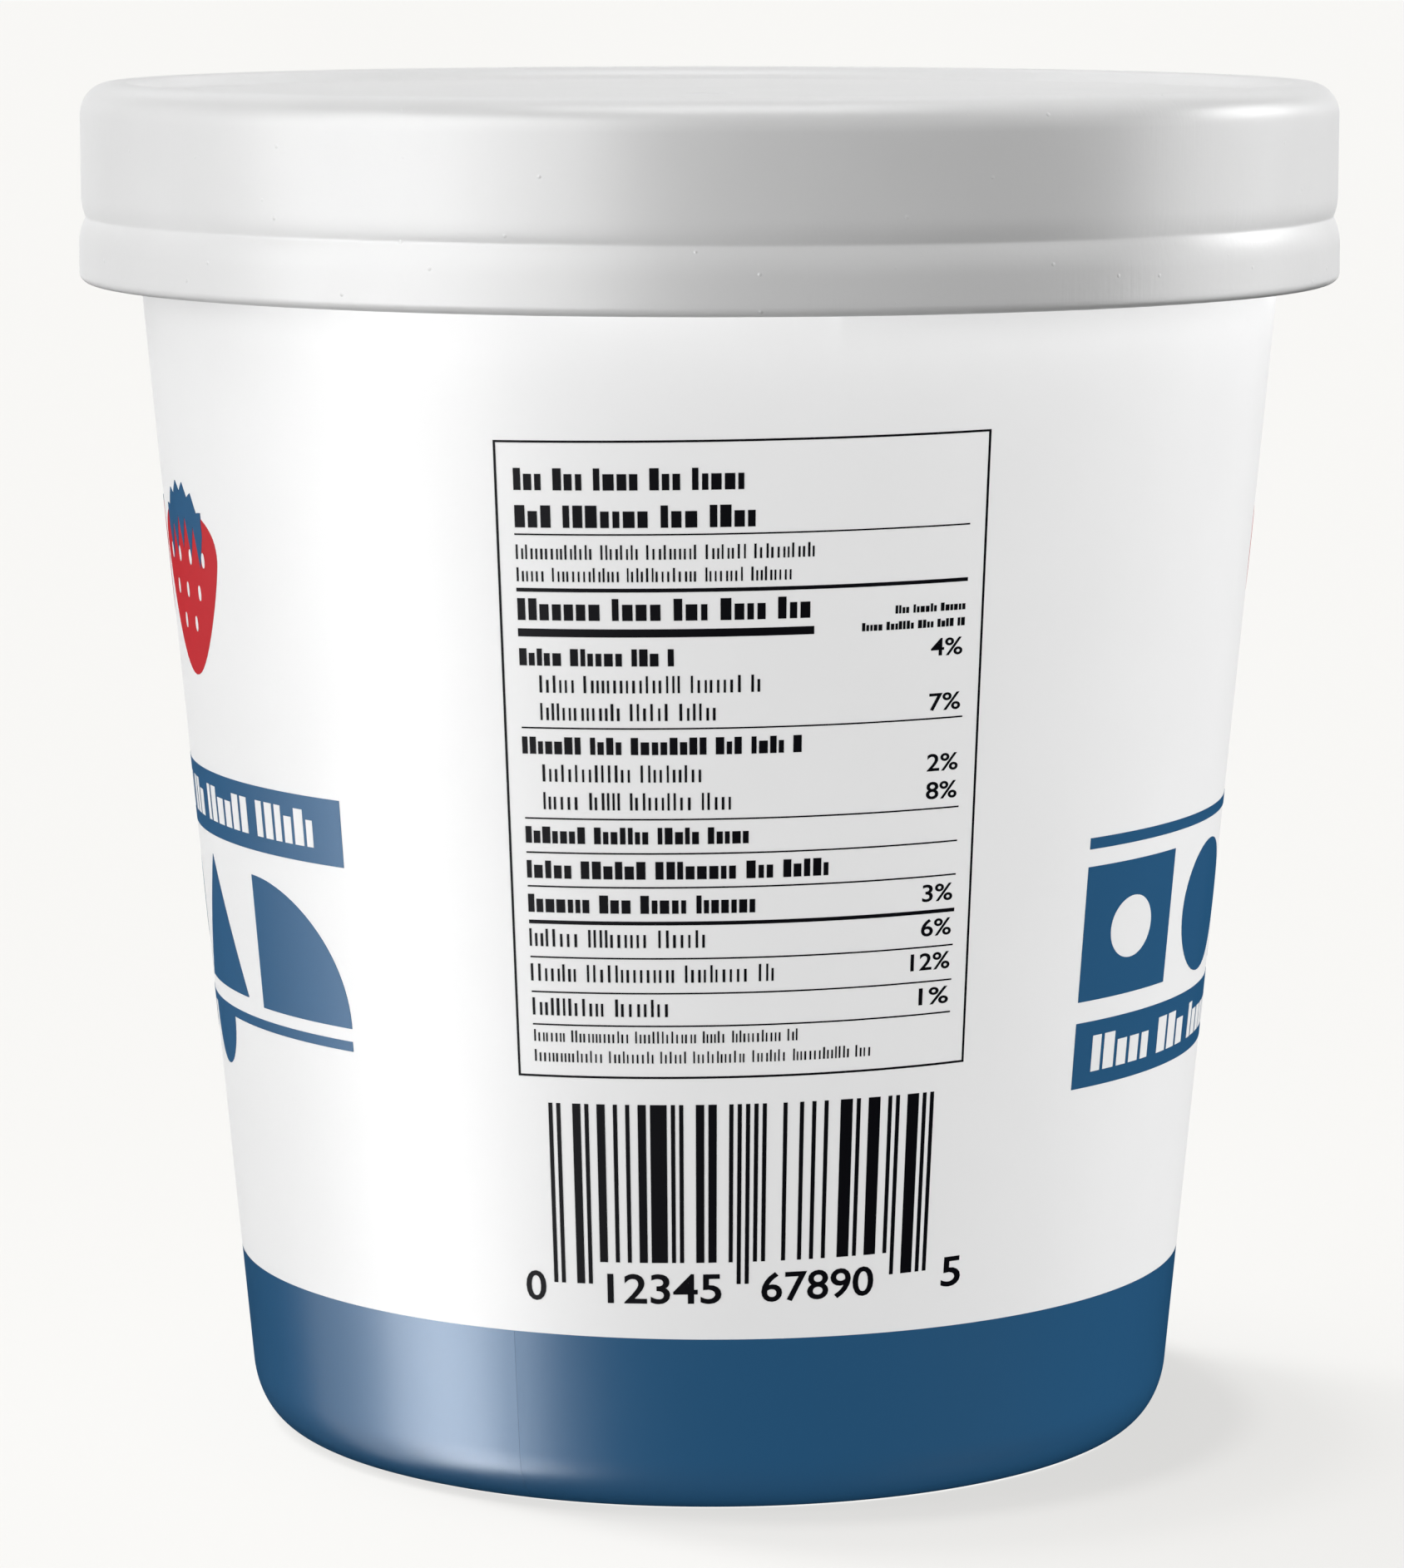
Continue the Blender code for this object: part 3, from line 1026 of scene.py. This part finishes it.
    def build(self, shop: Workshop) -> None:
        """Prints the front in blue and red, with its white parts laid over."""
        blue, red = InkLayer(), InkLayer()
        white, leaves = InkLayer(lift=0.11, sink=0.06), InkLayer(lift=0.11, sink=0.06)
        for left, right, low, high in (self.rule, self.banner, self.box, self.strip):
            blue.box(self.start + left, self.start + right, low, high)
        for turn, half, drop in self.scallops:
            t = half_circle()
            top = self.strip[2] + 0.1
            blue.strip(self.start + turn - half * np.cos(t), top - drop * np.sin(t), top)
        for number, (left, right, low, high) in enumerate((self.banner_words, self.box_words)):
            ends = (self.start + left, self.start + right)
            white.words(*ends, low, high, Weight.BOLD, self.first_seed + number)
        self.shapes(blue, white)
        for turn in self.fruit_turns:
            self.fruit(red, leaves, white, turn)
        shop.hang_print(f"{self.name}_blue", blue, BLUE_INK, Slot.BLUE)
        shop.hang_print(f"{self.name}_fruit", red, RED_INK, Slot.RED)
        shop.hang_print(f"{self.name}_leaves", leaves, BLUE_INK, Slot.BLUE)
        shop.hang_print(f"{self.name}_white", white, WHITE_INK, Slot.FILM)


# Studio


@dataclass(frozen=True)
class Bank:
    """Rectangular soft lamps of one size, at one height, that face the pot.

    Attributes:
        name: Name of the bank.
        target: What they light.
        reach: Which reflections they feed.
        rise: Degrees above the pot's middle.
        width: Width of each, in metres.
        height: Height of each, in metres.
        lamps: Of each, degrees round the pot from the camera's side, growing to the right, and watts.
        distance: Metres from the pot.
    """

    name: str
    target: Target
    reach: Reach
    rise: float
    width: float
    height: float
    lamps: tuple[tuple[float, float], ...]
    distance: float = 1.2


@dataclass(frozen=True)
class Pane:
    """One far pane of the window that only lights the floor.

    Attributes:
        turn: Degrees round the pot from the front, growing to the right.
        rise: Degrees above the floor.
        width: Degrees across, as seen from the pot.
        power: Watts per square metre.
    """

    turn: float
    rise: float
    width: float
    power: float


LID_SOFT = (Target.LID, Reach.DIFFUSE)
LID_GLOSS = (Target.LID, Reach.GLOSS)
TUB_SOFT = (Target.TUB, Reach.DIFFUSE)
TUB_GLOSS = (Target.TUB, Reach.GLOSS)


@dataclass
class Studio:
    """A pale sweep, a camera and soft lamps."""

    floor_rings: tuple[float, ...] = (0.2, 0.6, 2.0, 12.0)
    floor_steps: int = 96
    floor_gap: float = 0.05
    floor_paint: str = "#5E5E5D"
    floor_glow: str = "#DAD9D7"
    backdrop: str = "#F7F6F4"
    pot_middle: float = 0.055
    camera_place: tuple[float, float, float] = (-0.00061, -0.49745, 0.1225)
    camera_pitch: float = 81.917
    camera_lens: float = 140.1
    sensor_width: float = 36.0
    window: tuple[Pane, ...] = (
        Pane(-105, 38, 75, 3.8),
        Pane(-125, 38, 15, 1.7),
        Pane(-105, 66, 15, 2.1),
        Pane(-125, 15, 15, 5.6),
    )
    lid_round: tuple[tuple[float, float], ...] = (
        (30, 3.6), (-30, 3.0), (-60, 5.6), (-90, 5.2), (-129, 3.8), (120, 7.9)
    )
    lid_streak: tuple[tuple[float, float], ...] = (
        (-22, 12.2), (-36, 12.8), (-50, 17.6), (-64, 16.0), (-78, 10.8)
    )
    tub_round: tuple[tuple[float, float], ...] = (
        (30, 8.2), (60, 2.8), (-60, 5.7), (-90, 3.6), (-135, 3.0), (120, 7.6), (150, 6.5)
    )
    tub_streak: tuple[tuple[float, float], ...] = (
        (-36, 1.6), (-50, 10.8), (-64, 22.9), (-78, 17.2), (-92, 4.2), (-108, 2.2)
    )

    def banks(self) -> tuple[Bank, ...]:
        """Every bank of lamps: the round ones give the shading, the others the highlights."""
        return (
            Bank("lid_round", *LID_SOFT, 15, 0.7, 0.7, self.lid_round),
            Bank("lid_high", *LID_SOFT, 50, 0.7, 0.7, ((90, 5.7), (180, 3.0))),
            Bank("lid_low", *LID_SOFT, -60, 0.7, 0.7, ((0, 1.2),)),
            Bank("lid_low_left", *LID_SOFT, -50, 0.7, 0.7, ((-85, 2.4),)),
            Bank("lid_backdrop", *LID_GLOSS, 8, 1.8, 0.7, ((180, 2.7),)),
            Bank("lid_high_backdrop", *LID_GLOSS, 45, 1.4, 0.9, ((180, 4.9),)),
            Bank("lid_sky", *LID_GLOSS, 84, 0.7, 0.7, ((15, 10.6),)),
            Bank("lid_sky_right", *LID_GLOSS, 60, 0.8, 0.8, ((100, 4.0),)),
            Bank("lid_glint", *LID_GLOSS, 22, 0.45, 0.35, ((116, 5.0),)),
            Bank("lid_streak", *LID_GLOSS, 10, 0.3, 1.8, self.lid_streak),
            Bank("lid_streak_right", *LID_GLOSS, -10, 0.45, 1.2, ((90, 9.8), (112, 6.9), (134, 2.1))),
            Bank("tub_round", *TUB_SOFT, 15, 0.7, 0.7, self.tub_round),
            Bank("tub_high", *TUB_SOFT, 50, 0.7, 0.7, ((-90, 5.0), (180, 6.0))),
            Bank("tub_low_sides", *TUB_SOFT, -45, 0.7, 0.7, ((-70, 2.4), (80, 2.5))),
            Bank("tub_low", *TUB_SOFT, -55, 0.7, 0.7, ((0, 0.8),)),
            Bank("tub_streak", *TUB_GLOSS, -22, 0.3, 1.2, self.tub_streak),
        )

    def floor(self, shop: Workshop) -> None:
        """A wide disc that glows evenly and takes the pot's shadow: rings of points on growing circles."""
        down = -self.floor_gap * MM
        turn = np.linspace(0.0, 2 * math.pi, self.floor_steps, endpoint=False)
        rings = around(turn, np.array(self.floor_rings)[:, None], down)
        index = closed_rings(len(self.floor_rings), self.floor_steps)
        middle = np.stack([np.full(self.floor_steps, index.max() + 1), index[0, :-1], index[0, 1:]], axis=1)
        points = np.concatenate([rings.reshape(-1, 3), [(0.0, 0.0, down)]])
        mesh = new_mesh("floor", points, quads(index).tolist() + middle.tolist())
        mesh.materials.append(self.floor_material())
        floor = bpy.data.objects.new("floor", mesh)
        bpy.context.scene.collection.objects.link(floor)
        shop.floor.objects.link(floor)
        floor.visible_glossy = False
        floor.visible_diffuse = False
        floor.visible_shadow = False

    def floor_material(self) -> bpy.types.Material:
        """A matt pale sweep that glows, so that the pot's own light doesn't stain it."""
        material = bpy.data.materials.new("painted_sweep")
        material.use_nodes = True
        shader = material.node_tree.nodes["Principled BSDF"]
        shader.inputs["Base Color"].default_value = linear(self.floor_paint)
        shader.inputs["Roughness"].default_value = 1.0
        shader.inputs["Specular IOR Level"].default_value = 0.0
        shader.inputs["Emission Color"].default_value = linear(self.floor_glow)
        shader.inputs["Emission Strength"].default_value = 1.0
        material.cycles.emission_sampling = "NONE"
        return material

    def world(self) -> None:
        """A dark room that looks pale to the camera."""
        world = bpy.data.worlds.new("room")
        bpy.context.scene.world = world
        world.use_nodes = True
        tree = world.node_tree
        seen = add(tree, "ShaderNodeLightPath", {}, {}).outputs["Is Camera Ray"]
        inputs = {0: seen, 6: (0.0, 0.0, 0.0, 1.0), 7: linear(self.backdrop)}
        pale = add(tree, "ShaderNodeMix", {"data_type": "RGBA"}, inputs)
        tree.links.new(pale.outputs[2], tree.nodes["Background"].inputs["Color"])

    def hang_light(
        self, light: bpy.types.Light, tilt: float, turn: float, pieces: bpy.types.Collection
    ) -> bpy.types.Object:
        """Hangs a light that only lights some pieces.

        Args:
            light: The light.
            tilt: Its tilt up from straight down, in radians.
            turn: Its turn round the pot, in radians.
            pieces: What it lights.

        Returns:
            Its object.
        """
        holder = bpy.data.objects.new(light.name, light)
        bpy.context.scene.collection.objects.link(holder)
        holder.rotation_euler = (tilt, 0.0, turn)
        holder.light_linking.receiver_collection = pieces
        return holder

    def hang_bank(self, bank: Bank, shop: Workshop) -> None:
        """Hangs a bank: each lamp's place is distance times the direction of its turn and rise."""
        rise = math.radians(bank.rise)
        flat = bank.distance * math.cos(rise)
        up = self.pot_middle + bank.distance * math.sin(rise)
        pieces = shop.group(bank.target)
        for number, (degrees, power) in enumerate(bank.lamps):
            light = bpy.data.lights.new(f"{bank.name}_{number}", "AREA")
            light.shape = "RECTANGLE"
            light.size, light.size_y = bank.width, bank.height
            light.energy = power
            turn = math.radians(degrees)
            holder = self.hang_light(light, math.pi / 2 - rise, turn, pieces)
            holder.location = (flat * math.sin(turn), -flat * math.cos(turn), up)
            holder.visible_camera = False
            holder.visible_diffuse = bank.reach is Reach.DIFFUSE
            holder.visible_glossy = bank.reach is Reach.GLOSS
            if bank.target is Target.TUB:
                holder.light_linking.blocker_collection = pieces

    def hang_window(self, shop: Workshop) -> None:
        """A wide window far on the left, for the soft shadow of the tub's foot on the floor alone."""
        blockers = bpy.data.collections.new("foot_shadow")
        blockers.objects.link(bpy.data.objects["wrap_blue_band"])
        for number, pane in enumerate(self.window):
            light = bpy.data.lights.new(f"window_{number}", "SUN")
            light.angle = math.radians(pane.width)
            light.energy = pane.power
            tilt = math.radians(90.0 - pane.rise)
            holder = self.hang_light(light, tilt, math.radians(pane.turn), shop.floor)
            holder.light_linking.blocker_collection = blockers

    def camera(self) -> None:
        """The camera: level left to right, looking a little down on the pot."""
        lens = bpy.data.cameras.new("camera")
        lens.lens = self.camera_lens
        lens.sensor_width = self.sensor_width
        holder = bpy.data.objects.new("camera", lens)
        bpy.context.scene.collection.objects.link(holder)
        holder.location = self.camera_place
        holder.rotation_euler = (math.radians(self.camera_pitch), 0.0, 0.0)
        bpy.context.scene.camera = holder

    def build(self, shop: Workshop) -> None:
        """Makes the whole studio, once every piece hangs in it."""
        bpy.context.scene.view_settings.view_transform = "Standard"
        self.floor(shop)
        self.world()
        self.hang_window(shop)
        for bank in self.banks():
            self.hang_bank(bank, shop)
        self.camera()


def main() -> None:
    """Builds the pot and the studio."""
    logging.basicConfig(level=logging.INFO, format="%(message)s")
    shop = Workshop(*(bpy.data.collections.new(f"{name}_pieces") for name in ("lid", "tub", "floor")))
    lid = Lid()
    lid.build(shop)
    Tub(lid).build(shop)
    Wrap().build(shop)
    FactsTable().build(shop)
    BarCode().build(shop)
    FrontPrint("front_left", -164.3).build(shop)
    FrontPrint("front_right", 44.3).build(shop)
    Studio().build(shop)


if __name__ == "__main__":
    main()
